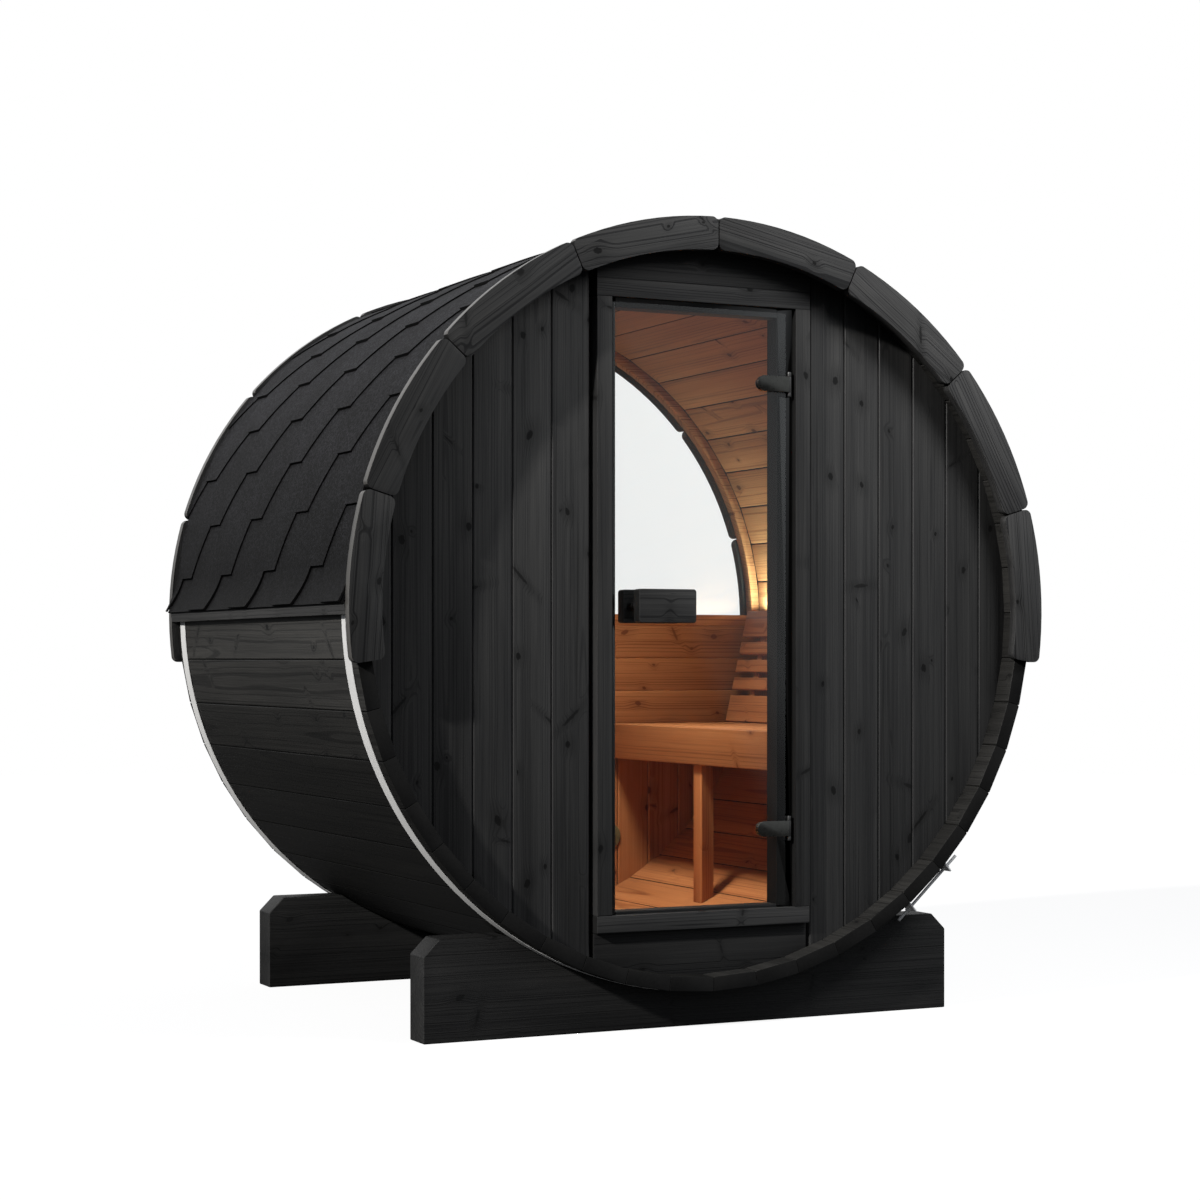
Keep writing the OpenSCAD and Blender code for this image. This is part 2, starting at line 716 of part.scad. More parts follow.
module door_handle_standoffs() color(black_metal)
    for (x = [-standoff_x, standoff_x], y = [glass_y - handle_standoff, glass_back_y])
        translate([handle_x + x, 0, handle_height]) along_y(y, handle_standoff) circle(r = handle_standoff_r);

cradle(front_y + cradle_inset);  // front_cradle
cradle(rear_y - cradle_inset - cradle_t);  // rear_cradle
stave_group(0);  // staves_upper_right
stave_group(1);  // staves_crown_right
stave_group(2);  // staves_crown_left
stave_group(3);  // staves_upper_left
stave_group(4);  // staves_lower_left
stave_group(5);  // staves_floor_left
stave_group(6);  // staves_floor_right
stave_group(7);  // staves_lower_right
front_wall_left();
front_wall_right();
front_wall_over_door();
front_wall_under_door();
door_frame_left();
door_frame_right();
door_frame_head();
door_frame_sill();
rear_wall();
rear_wall_lining();
rear_window_sill();
rear_window();
rear_window_trim();
vent_cover();
fascia(front_y, fascia_in_r);  // front_fascia
fascia(stave_rear_y, rear_fascia_in_r);  // rear_fascia
roof_half(-1);  // roof_left
roof_half(1);  // roof_right
eave_strips();
band(front_band_y);  // front_band
band(rear_band_y);  // rear_band
tensioner(front_band_y);  // front_band_tensioner
tensioner(rear_band_y);  // rear_band_tensioner
bench_front_rail();
bench_seat();
bench_bearers();
bench_post();
backrest_slats();
backrest_brackets();
hinge_leaves();
door_glass();
door_handle_outside();
door_handle_inside();
door_handle_standoffs();
hinge_straps();
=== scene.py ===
import json
import math
import random

import bpy
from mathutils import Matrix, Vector

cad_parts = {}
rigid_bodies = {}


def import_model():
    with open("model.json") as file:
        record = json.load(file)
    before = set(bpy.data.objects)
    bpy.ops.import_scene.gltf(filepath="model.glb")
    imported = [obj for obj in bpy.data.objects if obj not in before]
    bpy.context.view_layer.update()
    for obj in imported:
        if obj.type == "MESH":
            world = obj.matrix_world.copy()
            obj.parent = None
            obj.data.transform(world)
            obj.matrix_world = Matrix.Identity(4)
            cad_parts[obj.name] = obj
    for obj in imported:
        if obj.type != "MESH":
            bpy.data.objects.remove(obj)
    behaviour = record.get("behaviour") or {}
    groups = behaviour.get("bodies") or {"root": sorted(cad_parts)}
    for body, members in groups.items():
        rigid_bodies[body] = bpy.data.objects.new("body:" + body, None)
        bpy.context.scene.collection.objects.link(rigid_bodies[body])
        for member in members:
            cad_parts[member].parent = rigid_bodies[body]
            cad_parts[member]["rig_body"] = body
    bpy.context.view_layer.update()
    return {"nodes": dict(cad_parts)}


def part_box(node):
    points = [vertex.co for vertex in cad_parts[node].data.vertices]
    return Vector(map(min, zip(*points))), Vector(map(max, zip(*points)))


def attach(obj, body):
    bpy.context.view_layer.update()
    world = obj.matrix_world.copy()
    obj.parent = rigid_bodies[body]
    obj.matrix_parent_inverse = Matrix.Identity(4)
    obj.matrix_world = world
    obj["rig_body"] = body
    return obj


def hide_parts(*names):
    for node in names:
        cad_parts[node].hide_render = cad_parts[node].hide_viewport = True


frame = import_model()
nodes = frame["nodes"]
bpy.ops.object.select_all(action="DESELECT")
scene = bpy.context.scene
scene.view_settings.view_transform = "Standard"

# places read from the frame, in metres
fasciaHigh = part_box("front_fascia")[1]
wallLow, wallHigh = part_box("front_wall_left")
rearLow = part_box("rear_wall")[0]
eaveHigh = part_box("eave_strips")[1]
frameLow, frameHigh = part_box("door_frame_head")
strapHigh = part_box("hinge_straps")[1]
glassLow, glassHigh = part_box("door_glass")
axisZ = fasciaHigh.z - fasciaHigh.x     # the barrel's axis runs along Y at this height
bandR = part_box("front_band")[1].x       # the bands' outer radius, on which the shingles lie too
eaveRise = 0.011                        # the eave strip's outer edge over the axis
hair = 0.001                            # a margin too small to show
insideFrom, insideTo = wallHigh.y - hair, rearLow.y + hair      # the warm room lies between these
print("frame:", len(nodes), "nodes, axis at", round(axisZ, 3))


# camera

cameraSet = {
    "place": (-3.0312, -6.3043, 0.9411),
    "yaw": -25.903,       # degrees from +Y; less than 0 is clockwise from above
    "pitch": -0.353,
    "lens": 75.12,
    "shiftUp": 0.0616,
    "sensor": 36,
    "farthest": 200,
}

bpy.ops.object.camera_add(location=cameraSet["place"])
camera = bpy.context.object
camera.name = "photo_camera"
camera.rotation_euler = (math.radians(90 + cameraSet["pitch"]), 0, math.radians(cameraSet["yaw"]))
camera.data.sensor_width = cameraSet["sensor"]
camera.data.lens = cameraSet["lens"]
camera.data.shift_y = cameraSet["shiftUp"]
camera.data.clip_end = cameraSet["farthest"]
scene.camera = camera
print("camera in place")


# node helpers

def addNode(tree, kind, inputs=None, **settings):
    node = tree.nodes.new("ShaderNode" + kind)
    for key, value in settings.items():
        setattr(node, key, value)
    for key, value in (inputs or {}).items():
        if isinstance(value, bpy.types.NodeSocket):
            tree.links.new(value, node.inputs[key])
        else:
            node.inputs[key].default_value = value
    return node


def calc(tree, operation, first, second=0.0, third=0.0):
    node = addNode(tree, "Math", {0: first, 1: second, 2: third}, operation=operation)
    return node.outputs[0]


def stretch(tree, vector, scale):
    node = addNode(tree, "VectorMath", {0: vector, 1: scale}, operation="MULTIPLY")
    return node.outputs[0]


def noise(tree, vector, scale, detail=2.0, roughness=0.5):
    node = addNode(tree, "TexNoise", {"Vector": stretch(tree, vector, scale), "Scale": 1.0,
                                      "Detail": detail, "Roughness": roughness})
    return node.outputs["Fac"]


def remap(tree, value, low, high, toLow=0.0, toHigh=1.0):
    node = addNode(tree, "MapRange", {"Value": value, "From Min": low, "From Max": high,
                                      "To Min": toLow, "To Max": toHigh},
                   interpolation_type="SMOOTHSTEP")
    return node.outputs["Result"]


def mixColour(tree, factor, first, second, blend="MIX"):
    node = addNode(tree, "Mix", data_type="RGBA", blend_type=blend)
    for socket, value in ((node.inputs[0], factor), (node.inputs[6], first), (node.inputs[7], second)):
        if isinstance(value, bpy.types.NodeSocket):
            tree.links.new(value, socket)
        else:
            socket.default_value = value
    return node.outputs[2]


def shaded(tree, colour, shade):
    # the colour times a grey
    grey = addNode(tree, "CombineColor", {0: shade, 1: shade, 2: shade}).outputs[0]
    return mixColour(tree, 1.0, colour, grey, "MULTIPLY")


def plainGrey(level):
    return (level, level, level, 1.0)


def ramp(tree, factor, stops):
    node = addNode(tree, "ValToRGB", {"Fac": factor})
    band = node.color_ramp
    while len(band.elements) < len(stops):
        band.elements.new(0.5)
    for element, (place, colour) in zip(band.elements, stops):
        element.position = place
        element.color = (*colour, 1.0)
    return node.outputs["Color"]


def newMaterial(name):
    material = bpy.data.materials.new(name)
    material.use_nodes = True
    tree = material.node_tree
    tree.nodes.clear()
    output = tree.nodes.new("ShaderNodeOutputMaterial")
    return material, tree, output


def showSurface(tree, output, colour, roughness, normal, specular, metallic=0.0):
    shader = addNode(tree, "BsdfPrincipled", {
        "Base Color": colour, "Metallic": metallic, "Normal": normal, "Specular IOR Level": specular,
        "Roughness": roughness})
    tree.links.new(shader.outputs[0], output.inputs["Surface"])


# floor, sky and lamps

stageSet = {
    "floorReach": 14.0,
    "floorBase": 0.90,       # the part of the white that a shadow can't take away
    "floorShade": 0.13,      # how strongly the shadow shows
    "floorBounce": 0.05,     # grey of the floor for the light it sends back
    "floorGloss": 0.06,      # its light in a mirror
    "sunPlace": (-4, -2, 4),
    "sunTravel": (0.845, 0.2725, -0.4605),
    "sunPower": 3.4,
    "sunSize": 2.2,          # degrees
    "sunTint": (1.0, 0.975, 0.94),
    "skyStops": ((0.0, 0.03), (0.06, 0.08), (0.14, 0.16), (0.45, 0.30), (1.0, 0.50)),
    "skyTint": (0.91, 0.975, 1.11),
    # what gloss sees in front, over a rise that starts a little under the horizon
    "mirrorStart": -0.1,
    "mirrorStops": ((0.045, 0.045), (0.07, 0.086), (0.093, 0.15), (0.14, 0.165), (0.17, 0.226),
                    (0.197, 0.28), (0.229, 0.36), (1.0, 0.44)),
    "mirrorTint": (0.96, 1.0, 1.03),
    # the white backdrop behind, for gloss alone, and where it begins and is full
    "rearGlow": 1.0,
    "glowBehind": (0.45, 0.80),
    "glowRise": (0.08, 0.34),
}

bpy.ops.mesh.primitive_circle_add(vertices=64, radius=stageSet["floorReach"], fill_type="NGON")
floor = bpy.context.object
floor.name = "studio_floor"
floorMaterial, tree, output = newMaterial("studio_floor")
path = addNode(tree, "LightPath").outputs
seen = calc(tree, "MAXIMUM", path["Is Camera Ray"], path["Is Transmission Ray"])
openFloor = addNode(tree, "Emission", {"Color": plainGrey(1.0),
                                       "Strength": stageSet["floorBase"]}).outputs[0]
shadeFloor = addNode(tree, "BsdfDiffuse", {"Color": plainGrey(stageSet["floorShade"])}).outputs[0]
bounceFloor = addNode(tree, "BsdfDiffuse", {"Color": plainGrey(stageSet["floorBounce"])}).outputs[0]
glossFloor = addNode(tree, "Emission", {"Strength": stageSet["floorGloss"]}).outputs[0]
whiteFloor = addNode(tree, "AddShader", {0: openFloor, 1: shadeFloor}).outputs[0]
darkFloor = addNode(tree, "MixShader", {0: path["Is Glossy Ray"], 1: bounceFloor, 2: glossFloor}).outputs[0]
shownFloor = addNode(tree, "MixShader", {0: seen, 1: darkFloor, 2: whiteFloor}).outputs[0]
tree.links.new(shownFloor, output.inputs["Surface"])
floor.data.materials.append(floorMaterial)

world = bpy.data.worlds.new("studio")
world.use_nodes = True
scene.world = world
tree = world.node_tree
tree.nodes.clear()
output = tree.nodes.new("ShaderNodeOutputWorld")
path = addNode(tree, "LightPath").outputs
direction = addNode(tree, "TexCoord").outputs["Generated"]
behind, rise = addNode(tree, "SeparateXYZ", {0: direction}).outputs[1:]


def tintedRamp(tree, factor, kind):
    tint = stageSet[kind + "Tint"]
    return ramp(tree, factor, [(place, [level * part for part in tint])
                               for place, level in stageSet[kind + "Stops"]])


skyColour = tintedRamp(tree, rise, "sky")
mirrorSky = tintedRamp(tree, calc(tree, "SUBTRACT", rise, stageSet["mirrorStart"]), "mirror")
glow = calc(tree, "MULTIPLY", remap(tree, behind, *stageSet["glowBehind"]),
            remap(tree, rise, *stageSet["glowRise"]))
mirrorSky = mixColour(tree, glow, mirrorSky, plainGrey(stageSet["rearGlow"]))
skyColour = mixColour(tree, path["Is Glossy Ray"], skyColour, mirrorSky)
sky = addNode(tree, "Background", {"Color": skyColour, "Strength": 1.0}).outputs[0]
white = addNode(tree, "Background", {"Color": plainGrey(1.0), "Strength": 1.0}).outputs[0]
seen = calc(tree, "MAXIMUM", path["Is Camera Ray"], path["Is Transmission Ray"])
shownSky = addNode(tree, "MixShader", {0: seen, 1: sky, 2: white}).outputs[0]
tree.links.new(shownSky, output.inputs["Surface"])

bpy.ops.object.light_add(type="SUN", location=stageSet["sunPlace"])
sun = bpy.context.object
sun.name = "key_sun"
sun.data.energy = stageSet["sunPower"]
sun.data.angle = math.radians(stageSet["sunSize"])
sun.data.color = stageSet["sunTint"]
sun.rotation_euler = Vector(stageSet["sunTravel"]).to_track_quat("-Z", "Y").to_euler()

panelSet = {
    # lamp: place, turn in degrees about X, Y and Z from straight down, width, length, watts, spread, tint
    "front_fill": ((1.0, -2.3, 3.0), (50, 0, 28), 1.0, 1.0, 80.0, 180, (1.0, 1.0, 1.0)),
    "room_lamp": ((-0.05, 0.08, 1.76), (0, 0, 0), 0.24, 0.24, 15.0, 116, (1.0, 0.87, 0.68)),
    "backrest_glow": ((0.900, 0.54, 1.090), (0, 180, 0), 0.02, 0.18, 2.5, 170, (0.68, 0.92, 0.82)),
}

for name, (place, turn, width, length, watts, spread, tint) in panelSet.items():
    bpy.ops.object.light_add(type="AREA", location=place)
    lamp = bpy.context.object
    lamp.name = name
    lamp.data.shape = "RECTANGLE"
    lamp.data.size, lamp.data.size_y = width, length
    lamp.data.energy = watts
    lamp.data.spread = math.radians(spread)
    lamp.data.color = tint
    lamp.rotation_euler = [math.radians(angle) for angle in turn]
    lamp.visible_camera = lamp.visible_glossy = lamp.visible_transmission = False
print("stage and lamps set")


# wood: the attribute grain holds metres along, across and into the board, measured from its pith

blackStain = {
    "name": "black_stain",
    "stops": ((0.30, (0.0100, 0.0100, 0.0103)), (0.5, (0.0225, 0.0225, 0.0227)),
              (0.70, (0.044, 0.0436, 0.0424))),
    "knotColour": (0.005, 0.005, 0.005),
    "streakDark": 0.42,
    "toneSpread": (0.24, 1.76),      # factors on the colour at tones 0 and 1
    "ringRate": 400.0,               # rings per metre
    "roughness": (0.46, 0.62),
    "specular": 0.24,
    "bump": 0.50,
}
# painted light: a warmer copy of the black stain for the staves, for the warm tint of the sun that lights
# them
sunWarmedStain = dict(blackStain, name="stave_stain", stops=(
    (0.30, (0.0096, 0.0094, 0.0090)), (0.5, (0.0218, 0.0213, 0.0202)), (0.70, (0.043, 0.0416, 0.0386))))
warmPlank = {
    "name": "warm_plank",
    "stops": ((0.32, (0.24, 0.087, 0.035)), (0.5, (0.42, 0.176, 0.073)), (0.68, (0.56, 0.266, 0.122))),
    "knotColour": (0.11, 0.034, 0.015),
    "streakDark": 0.28,
    "toneSpread": (0.82, 1.18),
    "ringRate": 280.0,
    "roughness": (0.42, 0.58),
    "specular": 0.30,
    "bump": 0.20,
}
grainSet = {
    # noise per metre along, across and into the board
    "ragged": (110, 190, 190),
    "drift": (0.8, 4.0, 4.0),
    "fibre": (5.0, 480.0, 480.0),
    "streak": (0.7, 95.0, 95.0),
    "board": (1.5, 14.0, 14.0),
    "check": (1.1, 105.0, 105.0),
    "driftReach": 0.018,             # metres by which the rings wander
    "knotReach": 0.007,              # metres by which a knot bends them
    "ringLine": (0.47, 0.35),        # noise at which a ring's dark line begins and is full
    "checkLine": (0.67, 0.75),
    "weights": (0.26, 0.32, 0.18, 0.24),     # of rings, fibre, streaks and board in the colour
    "start": -0.08,
    "relief": (0.5, -0.5, -0.4),     # of rings, checks and knots in the bump, beside the fibre
    "bumpDepth": 0.0008,
    "roughSpan": (0.3, 0.7),
    "scatter": 0.9,                  # of the knots in their blocks
    "knotRagged": 0.9,
    "knotEdge": (1.55, 1.25),
    "haloReach": 5.5,                # in half sizes of a knot
    "spikeShare": 0.8,
    "knotShare": 0.95,
    "haloShare": 0.34,
}
knotSet = (
    # round knots, then spikes: block with one chance of a knot, share of blocks that keep it,
    # half sizes, widest slant and range of sizes
    {"cell": (0.28, 0.090, 0.6), "share": 0.50, "half": (0.0086, 0.0062), "slant": 0.6,
     "range": (0.45, 1.5)},
    {"cell": (0.52, 0.130, 0.6), "share": 0.52, "half": (0.0050, 0.0200), "slant": 1.2,
     "range": (0.6, 1.3)},
)


def knotLayer(tree, grain, ragged, kind):
    # knots sit at the points of a stretched cell pattern, and only some cells keep theirs
    cell = kind["cell"]
    cells = addNode(tree, "TexVoronoi", {"Vector": stretch(tree, grain, [1 / side for side in cell]),
                                         "Scale": 1.0, "Randomness": grainSet["scatter"]})
    centre = stretch(tree, cells.outputs["Position"], cell)
    offset = addNode(tree, "VectorMath", {0: grain, 1: centre}, operation="SUBTRACT").outputs[0]
    offAlong, offAcross = addNode(tree, "SeparateXYZ", {0: offset}).outputs[:2]
    pick = addNode(tree, "SeparateColor", {0: cells.outputs["Color"]}).outputs
    slant = calc(tree, "MULTIPLY_ADD", pick["Blue"], 2 * kind["slant"], -kind["slant"])
    slanted = calc(tree, "MULTIPLY_ADD", offAcross, slant, offAlong)
    small, large = kind["range"]
    size = calc(tree, "MULTIPLY_ADD", pick["Green"], large - small, small)
    flat = addNode(tree, "CombineXYZ", {0: calc(tree, "DIVIDE", slanted, kind["half"][0]),
                                        1: calc(tree, "DIVIDE", offAcross, kind["half"][1])}).outputs[0]
    away = addNode(tree, "VectorMath", {0: flat}, operation="LENGTH").outputs["Value"]
    away = calc(tree, "DIVIDE", away, size)
    kept = calc(tree, "LESS_THAN", pick["Red"], kind["share"])
    edge = calc(tree, "MULTIPLY_ADD", ragged, grainSet["knotRagged"], away)
    core = remap(tree, edge, *grainSet["knotEdge"])
    halo = remap(tree, away, grainSet["haloReach"], 0.0)
    return calc(tree, "MULTIPLY", core, kept), calc(tree, "MULTIPLY", halo, kept)


def woodMaterial(look):
    material, tree, output = newMaterial(look["name"])
    grain = addNode(tree, "Attribute", attribute_name="grain").outputs["Vector"]
    tone = addNode(tree, "Attribute", attribute_name="tone").outputs["Fac"]
    figure = addNode(tree, "Attribute", attribute_name="figure").outputs["Fac"]
    across, depth = addNode(tree, "SeparateXYZ", {0: grain}).outputs[1:]
    ragged = noise(tree, grain, grainSet["ragged"])
    dots, dotHalo = knotLayer(tree, grain, ragged, knotSet[0])
    spikes, spikeHalo = knotLayer(tree, grain, ragged, knotSet[1])
    knot = calc(tree, "MAXIMUM", dots, calc(tree, "MULTIPLY", spikes, grainSet["spikeShare"]))
    halo = calc(tree, "MAXIMUM", dotHalo, spikeHalo)

    # growth rings round the pith, bent by a slow drift and by the knots
    drift = calc(tree, "SUBTRACT", noise(tree, grain, grainSet["drift"]), 0.5)
    ringAt = addNode(tree, "CombineXYZ", {1: across, 2: depth}).outputs[0]
    ringR = addNode(tree, "VectorMath", {0: ringAt}, operation="LENGTH").outputs["Value"]
    ringR = calc(tree, "MULTIPLY_ADD", drift, grainSet["driftReach"], ringR)
    ringR = calc(tree, "MULTIPLY_ADD", halo, grainSet["knotReach"], ringR)
    rings = addNode(tree, "TexNoise", {"W": calc(tree, "MULTIPLY", ringR, look["ringRate"]), "Scale": 1.0,
                                       "Detail": 1.0}, noise_dimensions="1D").outputs["Fac"]
    lines = remap(tree, rings, *grainSet["ringLine"])
    rings = calc(tree, "MULTIPLY_ADD", lines, calc(tree, "MULTIPLY", figure, -1.0), 1.0)
    fibre = noise(tree, grain, grainSet["fibre"], detail=3.0, roughness=0.65)
    streak = noise(tree, grain, grainSet["streak"], detail=3.0)
    board = noise(tree, grain, grainSet["board"])
    check = remap(tree, noise(tree, grain, grainSet["check"], detail=1.0), *grainSet["checkLine"])

    value = grainSet["start"]
    for part, weight in zip((rings, fibre, streak, board), grainSet["weights"]):
        value = calc(tree, "MULTIPLY_ADD", part, weight, value)
    # the tone holds the stain's random tone together with painted light and shade
    palest, deepest = look["toneSpread"][1], look["toneSpread"][0]
    shade = calc(tree, "MULTIPLY_ADD", tone, palest - deepest, deepest)
    colour = shaded(tree, ramp(tree, value, look["stops"]), shade)
    stain = (*look["knotColour"], 1.0)
    dark = calc(tree, "MULTIPLY", check, look["streakDark"])
    gathered = calc(tree, "MULTIPLY", halo, grainSet["haloShare"])     # stain gathers round a knot
    colour = mixColour(tree, calc(tree, "MAXIMUM", dark, gathered), colour, stain)
    colour = mixColour(tree, calc(tree, "MULTIPLY", knot, grainSet["knotShare"]), colour, stain)

    height = fibre
    for part, weight in zip((rings, check, knot), grainSet["relief"]):
        height = calc(tree, "MULTIPLY_ADD", part, weight, height)
    bump = addNode(tree, "Bump", {"Strength": look["bump"], "Distance": grainSet["bumpDepth"],
                                  "Height": height}).outputs[0]
    rough = remap(tree, value, *grainSet["roughSpan"], *look["roughness"])
    showSurface(tree, output, colour, rough, bump, look["specular"])
    return material


blackWood = woodMaterial(blackStain)
sunWarmedWood = woodMaterial(sunWarmedStain)
warmWood = woodMaterial(warmPlank)


# metal, glass, shingle and vent finishes, on Object coordinates

plainSet = {
    "broad": (9, 9, 9),              # noise per metre
    "shares": (0.6, 0.4),            # of broad and fine noise
    "span": (0.3, 0.7),              # the part of the noise that is used
    "bumpDepth": 0.0005,
}


def plainMaterial(name, colours, roughness, metallic=0.0, specular=0.5, grainScale=(120, 120, 120),
                  bump=0.1):
    material, tree, output = newMaterial(name)
    place = addNode(tree, "TexCoord").outputs["Object"]
    fine = noise(tree, place, grainScale, detail=3.0)
    broad = noise(tree, place, plainSet["broad"])
    broadShare, fineShare = plainSet["shares"]
    value = calc(tree, "MULTIPLY_ADD", broad, broadShare, calc(tree, "MULTIPLY", fine, fineShare))
    colour = ramp(tree, value, tuple(zip(plainSet["span"], colours)))
    normal = addNode(tree, "Bump", {"Strength": bump, "Distance": plainSet["bumpDepth"],
                                    "Height": fine}).outputs[0]
    rough = remap(tree, value, *plainSet["span"], *roughness)
    showSurface(tree, output, colour, rough, normal, specular, metallic)
    return material


def glassMaterial(name, tint, sunShare=0.5, index=1.7):
    # a clear pane: what lies behind shows straight through, only the outer faces mirror,
    # and it holds back some of the sun
    material, tree, output = newMaterial(name)
    lit = addNode(tree, "LightPath").outputs["Is Shadow Ray"]
    passed = mixColour(tree, lit, (*tint, 1), (*[part * sunShare for part in tint], 1))
    clear = addNode(tree, "BsdfTransparent", {"Color": passed}).outputs[0]
    mirror = addNode(tree, "BsdfGlossy", {"Color": plainGrey(1.0), "Roughness": 0.0}).outputs[0]
    edge = addNode(tree, "Fresnel", {"IOR": index}).outputs[0]
    outer = calc(tree, "SUBTRACT", 1.0, addNode(tree, "NewGeometry").outputs["Backfacing"])
    share = calc(tree, "MULTIPLY", edge, outer)
    pane = addNode(tree, "MixShader", {0: share, 1: clear, 2: mirror}).outputs[0]
    tree.links.new(pane, output.inputs["Surface"])
    return material


# painted sheen: the band's near-white base, only a little metallic, paints in its bright reflection
bandSteelSheen = plainMaterial("band_steel", ((0.86, 0.86, 0.85), (0.96, 0.96, 0.95)), (0.30, 0.42),
                          metallic=0.15, grainScale=(60, 900, 60), bump=0.08)
blackMetal = plainMaterial("black_metal", ((0.004, 0.004, 0.004), (0.009, 0.009, 0.009)), (0.34, 0.46))
strapMetal = plainMaterial("strap_metal", ((0.10, 0.10, 0.093), (0.16, 0.16, 0.15)), (0.24, 0.34),
                           metallic=1.0)
pinSteel = plainMaterial("pin_steel", ((0.05, 0.05, 0.05), (0.09, 0.09, 0.09)), (0.26, 0.36),
                         metallic=0.6)
# dark end grain, also put on the door frame's sides that face the opening as painted shade
endGrainAndShade = plainMaterial("end_grain", ((0.0052, 0.0052, 0.0052), (0.0105, 0.0104, 0.0102)), (0.75, 0.9),
                         specular=0.15)
# painted shade: a near-black glossy finish for the stop behind the glass
stopShade = plainMaterial("stop_paint", ((0.0012, 0.0012, 0.0012), (0.0020, 0.0020, 0.0020)), (0.06, 0.10),
                          specular=1.0, bump=0.0)
# painted highlight: a paler grey on the fascia's outer rim, for the sheen along it
rimHighlight = plainMaterial("sawn_rim", ((0.068, 0.065, 0.061), (0.094, 0.090, 0.085)), (0.34, 0.44))
clearGlass = glassMaterial("clear_glass", (0.988, 0.994, 0.992))
ventPlastic = plainMaterial("vent_plastic", ((0.10, 0.085, 0.045), (0.14, 0.12, 0.065)), (0.40, 0.55))
# painted shade: near black on the staves' chamfers and sides, for the shade in the joints
staveJointShade = plainMaterial("stave_joint", ((0.0010, 0.0010, 0.0010), (0.0022, 0.0022, 0.0021)), (0.8, 0.95),
                           specular=0.1)
shingleEdge = plainMaterial("shingle_edge", ((0.003, 0.003, 0.003), (0.008, 0.008, 0.008)), (0.8, 0.95),
                            specular=0.1)


gritSet = {
    "rate": 250.0,                   # grains per metre
    "cloud": (6, 6, 6),
    "shares": (0.60, 0.40),          # of grains and cloud
    "stops": ((0.20, (0.0016, 0.0016, 0.0019)), (0.5, (0.0080, 0.0080, 0.0094)),
              (0.8, (0.034, 0.034, 0.0390))),
    "paintedLightFrom": -0.1,                # over the axis; painted light and shade: the cover is painted paler towards the ridge and darker towards the eave
    "paintedLightTo": 0.9,
    "paintedLight": (0.22, 1.1),
    "bump": 0.5,
    "bumpDepth": 0.0008,
    "roughness": 0.80,
    "specular": 0.18,
}


def gritMaterial(name):
    material, tree, output = newMaterial(name)
    place = addNode(tree, "TexCoord").outputs["Object"]
    grit = addNode(tree, "TexVoronoi", {"Vector": place, "Scale": gritSet["rate"], "Randomness": 1.0})
    speck = addNode(tree, "SeparateColor", {0: grit.outputs["Color"]}).outputs["Red"]
    cloud = noise(tree, place, gritSet["cloud"], detail=3.0)
    speckShare, cloudShare = gritSet["shares"]
    value = calc(tree, "MULTIPLY_ADD", speck, speckShare, calc(tree, "MULTIPLY", cloud, cloudShare))
    rise = addNode(tree, "SeparateXYZ", {0: place}).outputs["Z"]
    # painted light and shade: paler higher up the roof, darker near the eave
    paintedLight = remap(tree, rise, axisZ + gritSet["paintedLightFrom"], axisZ + gritSet["paintedLightTo"], *gritSet["paintedLight"])
    colour = shaded(tree, ramp(tree, value, gritSet["stops"]), paintedLight)
    height = calc(tree, "SUBTRACT", 1.0, grit.outputs["Distance"])
    normal = addNode(tree, "Bump", {"Strength": gritSet["bump"], "Distance": gritSet["bumpDepth"],
                                    "Height": height}).outputs[0]
    showSurface(tree, output, colour, gritSet["roughness"], normal, gritSet["specular"])
    return material


shingleGrit = gritMaterial("shingle_grit")
print("finishes mixed")


# dressing: a merged copy of each node with eased edges and its finish

def pickOnly(piece):
    bpy.ops.object.select_all(action="DESELECT")
    piece.select_set(True)
    bpy.context.view_layer.objects.active = piece


def cutAt(spot, normal, clearOuter=False, clearInner=False, fill=False):
    # cuts the whole mesh in edit mode along a plane
    bpy.ops.mesh.select_all(action="SELECT")
    bpy.ops.mesh.bisect(plane_co=spot, plane_no=normal, clear_outer=clearOuter, clear_inner=clearInner,
                        use_fill=fill)


def mergedCopy(node, mergeGap=0.00001, flatAngle=0.3):
    piece = bpy.data.objects.new("dressed_" + node, nodes[node].data.copy())
    scene.collection.objects.link(piece)
    piece.data.materials.clear()
    pickOnly(piece)
    bpy.ops.object.mode_set(mode="EDIT")
    bpy.ops.mesh.select_all(action="SELECT")
    bpy.ops.mesh.remove_doubles(threshold=mergeGap)
    bpy.ops.mesh.dissolve_limited(angle_limit=math.radians(flatAngle))
    bpy.ops.object.mode_set(mode="OBJECT")
    return piece


def easeEdges(piece, width, limit=30.0, segments=2):
    # bevelled edges, with the broad faces kept flat to the light
    pickOnly(piece)
    if not width:
        bpy.ops.object.shade_smooth_by_angle(angle=math.radians(limit))
        return
    bpy.ops.object.shade_smooth()
    bevel = piece.modifiers.new("eased", "BEVEL")
    bevel.width = width
    bevel.segments = segments
    bevel.limit_method = "ANGLE"
    bevel.angle_limit = math.radians(limit)
    bevel.harden_normals = True
    bpy.ops.object.modifier_apply(modifier="eased")


def boardsOf(mesh):
    # vertex lists of the separate boards in one mesh
    root = list(range(len(mesh.vertices)))

    def top(index):
        while root[index] != index:
            root[index] = root[root[index]]
            index = root[index]
        return index

    for edge in mesh.edges:
        first, second = top(edge.vertices[0]), top(edge.vertices[1])
        if first != second:
            root[first] = second
    boards = {}
    for index in range(len(root)):
        boards.setdefault(top(index), []).append(index)
    return list(boards.values())


